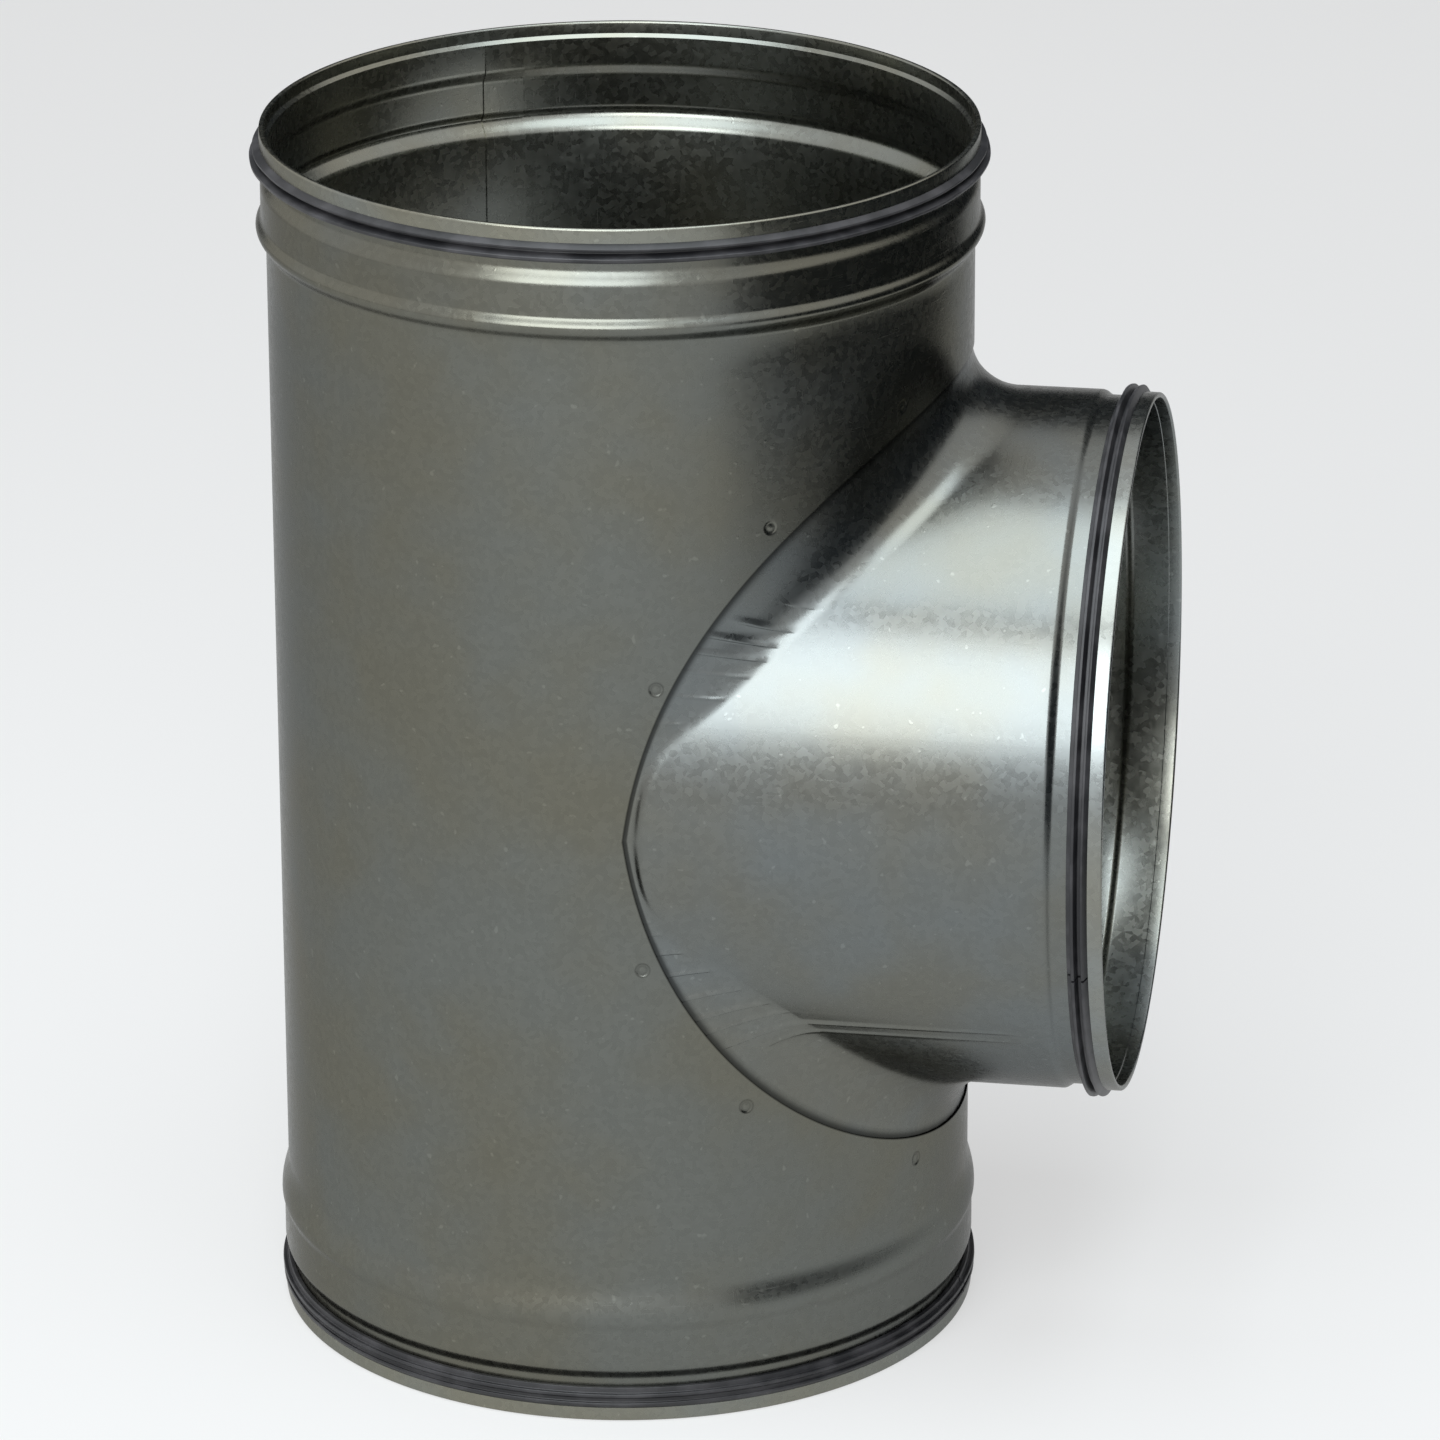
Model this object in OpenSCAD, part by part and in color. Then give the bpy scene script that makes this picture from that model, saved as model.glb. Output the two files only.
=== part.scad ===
// Equal duct tee: a straight tube with a pressed saddle branch of nearly its own size.
// The main tube stands on +Z with its lower rim at z = 0, and the branch points along +X.
// Every end is a spigot: a bead or shoulder, a groove for a rubber seal, and a hem folded
// outwards over the seal's tongue.

/* [Duct] */
// Bore of the duct that pushes over the spigots
duct_d = 315; // [300:1:330]
// Thickness of the galvanised sheet
sheet_t = 0.7; // [0.5:0.05:0.9]

/* [Main tube] */
// Height of the main tube, rim to rim
tube_h = 550; // [530:1:700]
// How much slimmer the body is than the duct's bore, on the diameter
body_under = 5.4; // [4.8:0.1:6.6]
// How much slimmer the main spigots are than the duct's bore, on the diameter
spigot_under = 1.2; // [0.6:0.1:2]
// Width of the lengthwise lap seam
lap_w = 18.8; // [12:0.1:26]
// Where the lap seam lies, in degrees round from the branch
lap_at = 120; // [100:1:260]

/* [Branch] */
// Height of the branch's axis above the lower rim
branch_z = 274.4; // [262:0.2:285]
// Distance from the main axis to the branch's rim
branch_reach = 233; // [226:1:320]
// How much wider the branch's neck is than the main body, on the diameter
neck_over = 0.2; // [0:0.1:2]

/* [Spigot ends] */
// Length of the hem's outer leg
hem_len = 6.3; // [5.5:0.1:7.5]
// Room between the hem's two legs, where the seal's tongue is held
hem_gap = 1; // [0.8:0.05:1.3]
// Width of the flat land along the folded rim
rim_land = 0.5; // [0.3:0.05:0.7]
// Depth of the seal's groove below the main spigots
groove_depth = 3.1; // [2.4:0.1:3.6]
// Step up from the main grooves to the hem's inner leg
main_ledge = 1.5; // [0.8:0.1:2]
// Step up from the branch's groove to the hem's inner leg
branch_ledge = 0.3; // [0.2:0.1:0.8]
// Depth of the seal's groove below the branch's neck
branch_groove_depth = 2.2; // [1.6:0.1:3]
// Distance from a rim to the spigot's full size, where the groove's shoulder ends
shoulder_at = 26; // [24:0.5:28]
// Length of the main grooves' shoulder
main_shoulder = 7.5; // [5:0.5:8]
// Length of the branch groove's shoulder
branch_shoulder = 4.5; // [4:0.5:8]

/* [Stop beads] */
// Distance from the upper rim to the crest of the upper bead
top_bead_at = 43.6; // [40:0.1:50]
// How far the upper bead stands proud of the spigot
top_bead_h = 2.3; // [1:0.1:3]
// Length of the upper bead's flank on the body's side
top_bead_back = 8; // [6:0.5:14]
// Distance from the lower rim to the crest of the lower bead
low_bead_at = 47.5; // [42:0.1:52]
// How far the lower bead stands proud of the spigot
low_bead_h = 1.1; // [0.6:0.1:3]
// Length of the lower bead's flank on the body's side
low_bead_back = 18; // [8:0.5:24]
// Length of a bead's flank on the spigot's side
bead_front = 4.8; // [3.5:0.1:6]

/* [Saddle] */
// How far the mouth cut in the main tube rises above the branch's neck
mouth_rise = 22.1; // [17:0.1:24]
// Half the width of the mouth's full outline round the main tube, in degrees
mouth_half_angle = 81.1; // [79:0.1:82]
// How far the outline's axis ends are trimmed, which makes the side points shallow
mouth_trim = 35; // [30:0.5:40]
// Fullness of the outline, where 2 is an ellipse
mouth_fullness = 2.15; // [2.05:0.01:2.25]
// Length along the branch of the rounding at its crown
crown_run = 25; // [20:0.5:27]
// Length along the branch of the rounding at its sides
side_run = 36; // [30:0.5:42]
// Width of the flange that lies under the main tube's edge
flange_w = 14; // [11:0.5:16]
// Clearance between the flange and the main tube's wall
weld_gap = 0.05; // [0.03:0.01:0.1]
// Depth of the pleats that the press leaves at the saddle's foot
pleat_depth = 0.55; // [0.2:0.05:0.9]

/* [Weld dimples] */
// Diameter of each spot weld's dimple
dimple_d = 6.5; // [5:0.1:8]
// Depth of each dimple
dimple_depth = 0.35; // [0.2:0.05:0.4]

/* [Rubber seals] */
// Clearance between a seal and the sheet it sits on
seal_gap = 0.05; // [0.03:0.01:0.1]
// Distance from a rim to the end of the seal's base
seal_end = 15.5; // [15:0.1:16.5]
// Distance from a rim to the tip of the tongue inside the hem
tongue_at = 3; // [2.4:0.1:3.6]
// How far the upper seal's first and second lips reach beyond its hem
top_lips = [3.2, 4.5];
// How far the lower seal's first and second lips reach beyond its hem
low_lips = [1.3, 1.6];
// How far the branch seal's first and second lips reach beyond its hem
branch_lips = [3.3, 3.6];
// Gap where a seal's two ends meet
splice_gap = 1.2; // [0.6:0.1:2]

/* [Hidden] */
$fn = 180;

// Radii of the sheet's outer face
body_r = (duct_d - body_under) / 2;
spigot_r = (duct_d - spigot_under) / 2;
groove_r = spigot_r - groove_depth;
neck_r = body_r + neck_over / 2;
branch_groove_r = neck_r - branch_groove_depth;

// The flange lies against the inside of the main tube
wall_r = body_r - sheet_t;
flange_r = wall_r - weld_gap;

// Steps in one curve of a profile, and in a quarter of the hem's fold
curve_steps = 9;
fold_steps = 5;

// Centre line radius of the hem's fold, which leaves the flat land between two quarter turns
fold_r = (hem_gap + sheet_t - rim_land) / 2;
// How far the folded sheet's outer face lies beyond the inner leg's outer face
hem_over = hem_gap + sheet_t;
// Distance from a rim to the foot of the inner leg
ledge_at = hem_len - 0.6;
// A mitred 45 degree bend moves the corner of the outer face by this much
ledge_corner = sheet_t / 2 * tan(22.5);

// The mouth's outline, on the unrolled outer face of the main tube
mouth_a = mouth_half_angle * PI / 180 * body_r;
mouth_b = neck_r + mouth_rise;
mouth_power = 2 / mouth_fullness;
// The outline's parameter runs from 0 on the centre line to this value at the side point
mouth_end = acos(pow(mouth_trim / (mouth_b + mouth_trim), 1 / mouth_power));
// Stations in one quarter of the mouth's edge
mouth_steps = 32;
// The cutter reaches this far each side of the wall
cutter_reach = 12;

// The saddle's foot stays this far inside the mouth's edge
foot_inset = 1.5;
// Share of each section's chord that its two handles take, at the neck and at the foot
neck_handle = 0.42;
foot_handle = 0.38;
// In the pleats the panels meet the neck at a sharper crease, with a shorter handle
pleat_handle = 0.2;
// Stations of a quarter: wide ones, then half a pleat each, then a few to the side point
pleat_from = 46;
pleat_pitch = 2.8;
pleat_halves = 18;
crown_steps = 9;
side_steps = 4;
// Outline parameters between which the pleats fade in and out, above and below the axis
pleats_above = [53, 69];
pleats_below = [46.5, 72];
// How far a pleat's valley runs on along the neck
pleat_run = 3;
section_steps = 9;

// The pressed saddle is joined to the turned neck, into which its edge is tucked
neck_start = body_r + crown_run + 6;
tuck = 0.12;
tuck_run = 1.5;

// Spot welds on each side, above and below the axis: outline parameter and distance
// outwards from the mouth's edge
welds_above = [[18.5, 10.5], [40, 9.5], [63, 6]];
welds_below = [[15, 10.5], [44, 10], [66, 8]];
dimple_ball_r = (dimple_d * dimple_d / 4 + dimple_depth * dimple_depth) / (2 * dimple_depth);

// Where the seals' ends meet, in degrees round each spigot
top_splice_at = 150;
low_splice_at = -6;
branch_splice_at = 110;

function flip(list) = [for (i = [len(list) - 1:-1:0]) list[i]];
function unit(v) = v / norm(v);

// An S-shaped run from one radius and depth to the next, without its first point
function s_run(r0, d0, r1, d1) = [
    for (i = [1:curve_steps])
        let (u = i / curve_steps)
        [r0 + (r1 - r0) * (1 - cos(180 * u)) / 2, d0 + (d1 - d0) * u]
];

// The hem's centre line: up the inner leg, over the flat land and down the outer leg
function hem(leg_r) =
    let (out_r = leg_r + hem_over, turn_d = sheet_t / 2 + fold_r)
    concat(
        [for (i = [0:fold_steps]) let (a = 90 * i / fold_steps)
            [leg_r + fold_r * (1 - cos(a)), turn_d - fold_r * sin(a)]],
        [for (i = [0:fold_steps]) let (a = 90 * i / fold_steps)
            [out_r - fold_r * (1 - sin(a)), turn_d - fold_r * cos(a)]],
        [[out_r, hem_len]]
    );

// Groove and hem of a spigot, as centre line points of radius and depth from the rim
function groove_line(full_r, floor_r, shoulder, ledge) = concat(
    [[full_r, shoulder_at]],
    s_run(full_r, shoulder_at, floor_r, shoulder_at - shoulder),
    [[floor_r, ledge_at + ledge], [floor_r + ledge, ledge_at]],
    hem(floor_r + ledge)
);

// A bead, from the body over its crest to the spigot
function bead_line(at, proud, back) =
    let (body_c = body_r - sheet_t / 2, spigot_c = spigot_r - sheet_t / 2)
    concat(
        [[body_c, at + back]],
        s_run(body_c, at + back, spigot_c + proud, at),
        s_run(spigot_c + proud, at, spigot_c, at - bead_front)
    );

function main_end(bead_at, proud, back) = concat(
    bead_line(bead_at, proud, back),
    groove_line(spigot_r - sheet_t / 2, groove_r - sheet_t / 2, main_shoulder, main_ledge)
);

// Normal of the line from one point to the next, to the right of its direction
function right_of(p, q) = let (v = unit(q - p)) [v[1], -v[0]];

// One face of a sheet: its centre line moved sideways, with mitred corners
function face_line(line, side) = [
    for (i = [0:len(line) - 1])
        let (
            n1 = i > 0 ? right_of(line[i - 1], line[i]) : right_of(line[0], line[1]),
            n2 = i < len(line) - 1 ? right_of(line[i], line[i + 1]) : n1
        )
        line[i] + side * (n1 + n2) / (1 + n1 * n2)
];

function sheet(line) = concat(face_line(line, sheet_t / 2), flip(face_line(line, -sheet_t / 2)));

// A point list with round corners, where each entry is x, y and the corner's radius
function rounded(corners) = [
    for (i = [0:len(corners) - 1])
        let (
            n = len(corners),
            c = corners[i],
            p = [c[0], c[1]],
            to_last = unit([for (k = [0:1]) corners[(i + n - 1) % n][k]] - p),
            to_next = unit([for (k = [0:1]) corners[(i + 1) % n][k]] - p),
            half = acos(to_last * to_next) / 2,
            mid = unit(to_last + to_next),
            centre = p + mid * c[2] / sin(half),
            t0 = p + to_last * c[2] / tan(half) - centre,
            t1 = p + to_next * c[2] / tan(half) - centre
        )
        each c[2] == 0 ? [p] : [for (k = [0:4]) centre + unit(t0 * (4 - k) + t1 * k) * c[2]]
];

// The mouth's outline at one parameter, moved outwards by w: distance round the tube and height
function outline(t, w) =
    let (
        sn = max(sin(t), 0.0001),
        cs = cos(t),
        k = mouth_b + mouth_trim,
        out = t >= mouth_end - 0.01 ? [1, 0]
            : unit([k * pow(cs, mouth_power - 1) * sn, mouth_a * pow(sn, mouth_power - 1) * cs])
    )
    [mouth_a * pow(sn, mouth_power), k * pow(cs, mouth_power) - mouth_trim] + w * out;

// An outline point carried onto a cylinder about the main axis
function on_tube(p, r) =
    let (a = p[0] / body_r * 180 / PI)
    [r * cos(a), r * sin(a), p[1]];

// Solid that cuts the mouth, with its sides along radii of the main tube
module mouth_cutter() {
    half = 2 * mouth_steps;
    count = 2 * half;
    loop = [
        for (i = [0:count - 1])
            let (
                j = i <= half ? i : count - i,
                t = mouth_end * (j / mouth_steps - 1),
                p = outline(abs(t), 0),
                up = i <= half ? 1 : -1
            )
            [sign(t) * p[0], j == 0 || j == half ? 0 : up * p[1]]
    ];
    inner = [for (p = loop) on_tube(p, body_r - cutter_reach)];
    outer = [for (p = loop) on_tube(p, body_r + cutter_reach)];
    sides = [
        for (i = [0:count - 1])
            let (n = (i + 1) % count)
            each [[i, n, n + count], [i, n + count, i + count]]
    ];
    caps = [
        for (i = [0:half - 1])
            let (a = i, b = i + 1, c = (count - i - 1) % count, d = (count - i) % count)
            each [
                if (a != d) [a, d, b],
                if (b != c) [b, d, c],
                if (a != d) [a + count, b + count, d + count],
                if (b != c) [b + count, c + count, d + count]
            ]
    ];
    polyhedron(concat(inner, outer), concat(sides, caps), convexity = 4);
}

// Shallow ball cuts where the two sheets are spot welded
module weld_dimples() {
    for (side = [-1, 1], up = [1, -1], weld = up > 0 ? welds_above : welds_below) {
        p = outline(weld[0], weld[1]);
        c = on_tube(p, body_r + dimple_ball_r - dimple_depth);
        translate([c[0], side * c[1], branch_z + up * c[2]]) sphere(r = dimple_ball_r, $fn = 96);
    }
}

// The second layer of the lap seam: the same section again, one thickness further in
module lap_seam() {
    line = main_line();
    first = len(hem(0)) + 1;
    inner = [for (i = [first:len(line) - 1 - first]) line[i] - [sheet_t, 0]];
    turn = lap_w / body_r * 180 / PI;
    rotate_extrude(angle = turn, start = lap_at - turn / 2) polygon(sheet(inner));
}

// The main tube's whole centre line, from the lower hem up to the upper hem
function main_line() = concat(
    flip(main_end(low_bead_at, low_bead_h, low_bead_back)),
    [for (p = main_end(top_bead_at, top_bead_h, top_bead_back)) [p[0], tube_h - p[1]]]
);

module main_tube() {
    color([0.62, 0.65, 0.66])
    difference() {
        union() {
            rotate_extrude() polygon(sheet(main_line()));
            lap_seam();
        }
        translate([0, 0, branch_z]) mouth_cutter();
        weld_dimples();
    }
}

// Where the rounding meets the neck, at an angle from the branch's crown
function crease_x(phi) =
    let (crown = neck_r * cos(phi) + crown_run * pow(max(cos(phi), 0), 1.6))
    pow(pow(crown, 4) + pow(side_run, 4), 0.25);

function ease(u) = let (v = min(max(u, 0), 1)) v * v * (3 - 2 * v);

// How strongly the pleats show at an outline parameter, from 0 to 1
function pleat_share(t, band) =
    ease((t - band[0]) / (2 * pleat_pitch)) * ease((band[1] - t) / (2 * pleat_pitch));

// 1 in a pleat's valley and 0 on the panel between two valleys
function pleat_wave(t) = let (u = (t - pleat_from) / pleat_pitch) abs(2 * (u - floor(u)) - 1);

// Outline parameters of one quarter's stations, from the crown to just before the side point
function stations() =
    let (pleat_to = pleat_from + pleat_halves * pleat_pitch / 2)
    concat(
        [for (i = [0:crown_steps - 1]) pleat_from * i / crown_steps],
        [for (i = [0:pleat_halves - 1]) pleat_from + i * pleat_pitch / 2],
        [for (i = [0:side_steps - 1]) pleat_to + (mouth_end - pleat_to) * i / side_steps]
    );

function bezier(p, u) =
    let (v = 1 - u)
    v * v * v * p[0] + 3 * v * v * u * p[1] + 3 * v * u * u * p[2] + u * u * u * p[3];

// One section of the saddle's outer face, from the tucked edge over the rounding to the flange
function saddle_section(t, side, up) =
    let (
        foot = on_tube(outline(t, -foot_inset), flange_r),
        phi = t >= mouth_end ? 90 : atan2(foot[1], foot[2]),
        rho = norm([foot[1], foot[2]]),
        share = pleat_share(t, up > 0 ? pleats_above : pleats_below),
        valley = share * pleat_wave(t),
        start = [crease_x(phi) + pleat_run * valley, neck_r],
        end = [foot[0], rho],
        along = unit([-rho * sin(phi) * sin(phi) / foot[0], 1]),
        chord = norm(end - start),
        neck_pull = neck_handle + (pleat_handle - neck_handle) * share,
        pull = [start, start - [neck_pull * chord, 0], end - foot_handle * chord * along, end],
        across = unit([start[1] - end[1], end[0] - start[0]]),
        curve = [
            for (i = [0:section_steps])
                let (u = i / section_steps)
                bezier(pull, u) + across * pleat_depth * valley * sin(180 * u)
        ],
        plane = concat(
            [[neck_start + tuck_run, neck_r - tuck], [neck_start - tuck_run, neck_r]],
            curve
        ),
        flange = [for (w = [0, flange_w / 2, flange_w]) on_tube(outline(t, w), flange_r)]
    )
    concat(
        [for (q = plane) [q[0], side * q[1] * sin(phi), up * q[1] * cos(phi)]],
        [for (q = flange) [q[0], side * q[1], up * (t >= mouth_end ? 0 : q[2])]]
    );

// Sections all the way round: crown, near side, underside, far side
function saddle_face() =
    let (s = stations(), back = concat([mouth_end], flip([for (i = [1:len(s) - 1]) s[i]])))
    concat(
        [for (t = s) saddle_section(t, -1, 1)],
        [for (t = back) saddle_section(t, -1, -1)],
        [for (t = s) saddle_section(t, 1, -1)],
        [for (t = back) saddle_section(t, 1, 1)]
    );

// The pressed saddle: a face of sections and the same face one thickness further in
module pressed_saddle() {
    face = saddle_face();
    cols = len(face);
    rows = len(face[0]);
    inner = [
        for (i = [0:cols - 1])
            [
                for (j = [0:rows - 1])
                    let (
                        round = face[(i + 1) % cols][j] - face[(i + cols - 1) % cols][j],
                        on = face[i][min(j + 1, rows - 1)] - face[i][max(j - 1, 0)],
                        thick = j == 0 ? sheet_t - 2 * tuck : sheet_t
                    )
                    face[i][j] - thick * unit(cross(on, round))
            ]
    ];
    points = [for (i = [0:cols - 1]) each concat(face[i], flip(inner[i]))];
    ring = 2 * rows;
    faces = [
        for (i = [0:cols - 1], j = [0:ring - 1])
            let (
                a = i * ring + j,
                b = i * ring + (j + 1) % ring,
                c = (i + 1) % cols * ring + (j + 1) % ring,
                d = (i + 1) % cols * ring + j
            )
            each [[a, c, b], [a, d, c]]
    ];
    polyhedron(points, faces, convexity = 8);
}

// The turned neck, with its groove and hem at the branch's rim
module branch_neck() {
    neck_c = neck_r - sheet_t / 2;
    line = concat(
        [[neck_c, branch_reach - neck_start]],
        groove_line(neck_c, branch_groove_r - sheet_t / 2, branch_shoulder, branch_ledge)
    );
    translate([branch_reach, 0, 0]) rotate([0, -90, 0]) rotate_extrude() polygon(sheet(line));
}

module branch_saddle() {
    color([0.70, 0.73, 0.75])
    translate([0, 0, branch_z])
    union() {
        pressed_saddle();
        branch_neck();
    }
}

// Section of a seal: a tongue in the hem, a base in the groove and two lips that lean away
// from the rim
function seal_section(floor_r, ledge, lips) =
    let (
        leg = floor_r + ledge,
        tongue_r = leg + hem_gap - seal_gap,
        hem_r = leg + hem_over,
        lip_root = hem_len + seal_gap,
        ledge_d = ledge_at + ledge_corner + seal_gap
    )
    rounded([
        [leg + seal_gap, tongue_at, 0.25],
        [tongue_r, tongue_at, 0.25],
        [tongue_r, lip_root, 0],
        [hem_r, lip_root, 0.2],
        [hem_r + lips[0], lip_root + 1.7, 0.35],
        [hem_r + lips[0] - 0.3, lip_root + 2.8, 0.35],
        [tongue_r + 0.5, lip_root + 2.3, 0.5],
        [tongue_r + 0.4, lip_root + 4.4, 0.5],
        [hem_r + lips[1], lip_root + 5.6, 0.4],
        [hem_r + lips[1] - 0.2, lip_root + 7.1, 0.4],
        [tongue_r, lip_root + 6.5, 0.5],
        [tongue_r - 0.5, seal_end, 0.3],
        [floor_r + seal_gap, seal_end, 0.2],
        [floor_r + seal_gap, ledge_d + ledge, 0],
        [leg + seal_gap, ledge_d, 0]
    ]);

module seal_ring(floor_r, ledge, lips, splice_at) {
    gap = splice_gap / floor_r * 180 / PI;
    rotate_extrude(angle = 360 - gap, start = splice_at + gap / 2)
        polygon(seal_section(floor_r, ledge, lips));
}

module gasket_top() {
    color([0.08, 0.08, 0.09])
    translate([0, 0, tube_h]) mirror([0, 0, 1])
        seal_ring(groove_r, main_ledge, top_lips, top_splice_at);
}

module gasket_bottom() {
    color([0.08, 0.08, 0.09]) seal_ring(groove_r, main_ledge, low_lips, low_splice_at);
}

module gasket_branch() {
    color([0.08, 0.08, 0.09])
    translate([branch_reach, 0, branch_z]) rotate([0, -90, 0])
        seal_ring(branch_groove_r, branch_ledge, branch_lips, branch_splice_at);
}

main_tube();
branch_saddle();
gasket_top();
gasket_bottom();
gasket_branch();
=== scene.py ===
# %% [markdown]
# # A galvanised duct tee, sheet by sheet
#
# The real part is an equal tee for round ventilation duct. A rolled tube of galvanised sheet has a
# leaf-shaped mouth cut in its side, and a pressed saddle with a branch of the same bore is spot
# welded under the mouth's edge. Each of its three ends has a groove, a hem folded outwards and a
# double-lip rubber seal.
#
# The imported CAD model comes first, as the frame that everything is measured in. Its solids have the
# true form, but a mesh of loose flat triangles breaks up the reflections of a polished sheet. So
# each one is made again here from the same lengths, as a smooth grid that also has what a CAD solid
# leaves out: the small pleats and the marks on the metal.

import bmesh
import bpy
import numpy as np
from mathutils import Matrix


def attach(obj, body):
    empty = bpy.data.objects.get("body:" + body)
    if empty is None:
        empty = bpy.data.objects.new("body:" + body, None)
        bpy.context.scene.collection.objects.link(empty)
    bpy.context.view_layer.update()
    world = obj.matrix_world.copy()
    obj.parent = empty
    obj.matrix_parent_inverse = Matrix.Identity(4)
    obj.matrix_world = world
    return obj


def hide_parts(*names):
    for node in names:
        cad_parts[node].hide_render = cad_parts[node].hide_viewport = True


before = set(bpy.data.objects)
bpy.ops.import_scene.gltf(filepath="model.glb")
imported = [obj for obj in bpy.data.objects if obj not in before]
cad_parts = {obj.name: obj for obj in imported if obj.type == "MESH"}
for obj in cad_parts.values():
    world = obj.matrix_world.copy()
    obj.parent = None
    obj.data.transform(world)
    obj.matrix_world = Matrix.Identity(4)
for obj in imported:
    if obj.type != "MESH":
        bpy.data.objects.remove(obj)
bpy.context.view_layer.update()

# %% [markdown]
# ## Lengths
#
# A fitting like this is described by a handful of lengths in millimetres: the duct's bore, the
# sheet's thickness, and the places and depths of the rolled forms. Every surface below is worked
# out from them in millimetres, and only the finished points are turned into metres. The other way
# would be to measure the CAD mesh, but then a rounding in the mesh would end up in the shine.

# %% Lengths in millimetres
SHEET = 0.7
TALL, REACH, BRANCH_Z = 550.0, 233.0, 274.4
BODY_R, SPIGOT_R, GROOVE_R = 154.8, 156.9, 153.8
NECK_R, BRANCH_GROOVE_R = 154.9, 152.7
FLANGE_R = BODY_R - SHEET - 0.05
HEM_LEN, HEM_OVER, FOLD_R = 6.3, 1.7, 0.6
LEDGE_AT = HEM_LEN - 0.6
MAIN_LEDGE, BRANCH_LEDGE = 1.5, 0.3
SHOULDER_AT, MAIN_SHOULDER, BRANCH_SHOULDER = 26.0, 7.5, 4.5
MM = 0.001
print(f"body {2 * BODY_R} mm, spigots {2 * SPIGOT_R} mm, sheet {SHEET} mm")

# %% [markdown]
# ## The section of a rolled end
#
# On the real part a machine rolls the end of the tube between two shaped wheels. Seen in section,
# the sheet runs from the body over a stop bead to the spigot, steps down into the seal's groove and
# ends in a hem: it is folded outwards, over a narrow flat land, and comes back down outside.
#
# A section can be drawn by hand as a curve, but each bend here is a short formula, so the middle
# line of the sheet is a list of points of radius and depth below the rim. The two faces of the
# sheet are that line moved sideways by half the thickness.


# %% The middle line of a rolled end
def s_run(start, end, steps=8):
    """S-shaped run between two points: even steps of depth, half a cosine wave of radius."""
    u = np.arange(1, steps + 1)[:, None] / steps
    wave = (1 - np.cos(np.pi * u)) / 2
    return np.hstack([start[0] + (end[0] - start[0]) * wave, start[1] + (end[1] - start[1]) * u])


def hem_line(leg, steps=5):
    """Up the inner leg, a quarter turn, a flat land, a quarter turn and down the outer leg."""
    a = np.radians(np.linspace(0, 90, steps + 1))[:, None]
    turn = SHEET / 2 + FOLD_R
    up = np.hstack([leg + FOLD_R * (1 - np.cos(a)), turn - FOLD_R * np.sin(a)])
    down = np.hstack([leg + HEM_OVER - FOLD_R * (1 - np.sin(a)), turn - FOLD_R * np.cos(a)])
    return np.vstack([up, down, [[leg + HEM_OVER, 3.6], [leg + HEM_OVER, HEM_LEN]]])


def groove_line(full, floor, shoulder, ledge):
    """From the full radius down the shoulder to the groove's floor, up the ledge and over the hem."""
    top = [full, SHOULDER_AT]
    foot = [floor, SHOULDER_AT - shoulder]
    return np.vstack([[top], s_run(top, foot),
                      [[floor, LEDGE_AT + ledge], [floor + ledge, LEDGE_AT]], hem_line(floor + ledge)])


def bead_line(at, proud, back):
    """From the body over the crest of a bead, at its depth below the rim, to the spigot."""
    body, spigot = BODY_R - SHEET / 2, SPIGOT_R - SHEET / 2
    crest = [spigot + proud, at]
    return np.vstack([[[body, at + back]], s_run([body, at + back], crest),
                      s_run(crest, [spigot, at - 4.8])])


def face_line(line, side):
    """The line moved sideways: a corner goes along its two normals' sum, over 1 + their product."""
    step = np.diff(line, axis=0)
    step /= np.linalg.norm(step, axis=1)[:, None]
    right = np.stack([step[:, 1], -step[:, 0]], 1)
    before, after = np.vstack([right[:1], right]), np.vstack([right, right[-1:]])
    return line + side * (before + after) / (1 + (before * after).sum(1))[:, None]


def both_faces(line):
    """The sheet's outer face from body to hem, then its inner face back to the body."""
    return np.vstack([face_line(line, -SHEET / 2), face_line(line, SHEET / 2)[::-1]])


def main_end(at, proud, back):
    """A main end: the bead, then the groove and the hem."""
    return np.vstack([bead_line(at, proud, back),
                      groove_line(SPIGOT_R - SHEET / 2, GROOVE_R - SHEET / 2, MAIN_SHOULDER, MAIN_LEDGE)])


TOP_END = both_faces(main_end(43.6, 2.3, 8.0))
LOW_END = both_faces(main_end(47.5, 1.1, 18.0))
print(f"a main end's section has {len(TOP_END)} points, out to radius {TOP_END[:, 0].max():.2f} mm")

# %% [markdown]
# ## The mouth's outline
#
# Where two tubes of the same size cross, the mouth unrolls to a leaf shape. On this part it is
# wider than the branch, because the saddle's rounding needs room, and it ends in a blunt point on
# each side. One quarter of it follows a power of the sine and the cosine of a parameter, like an
# ellipse that has been filled out, with its lower strip trimmed away.
#
# The outline is needed three times: for the cut in the tube, for the saddle's foot just inside it,
# and for the row of spot welds outside it. So it is a function with a second number, the distance
# outwards from the cut.

# %% The mouth's outline on the unrolled tube
MOUTH_A = np.radians(81.1) * BODY_R
MOUTH_B, TRIM, POWER = NECK_R + 22.1, 35.0, 2 / 2.15
MOUTH_END = np.degrees(np.arccos((TRIM / (MOUTH_B + TRIM)) ** (1 / POWER)))


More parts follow.
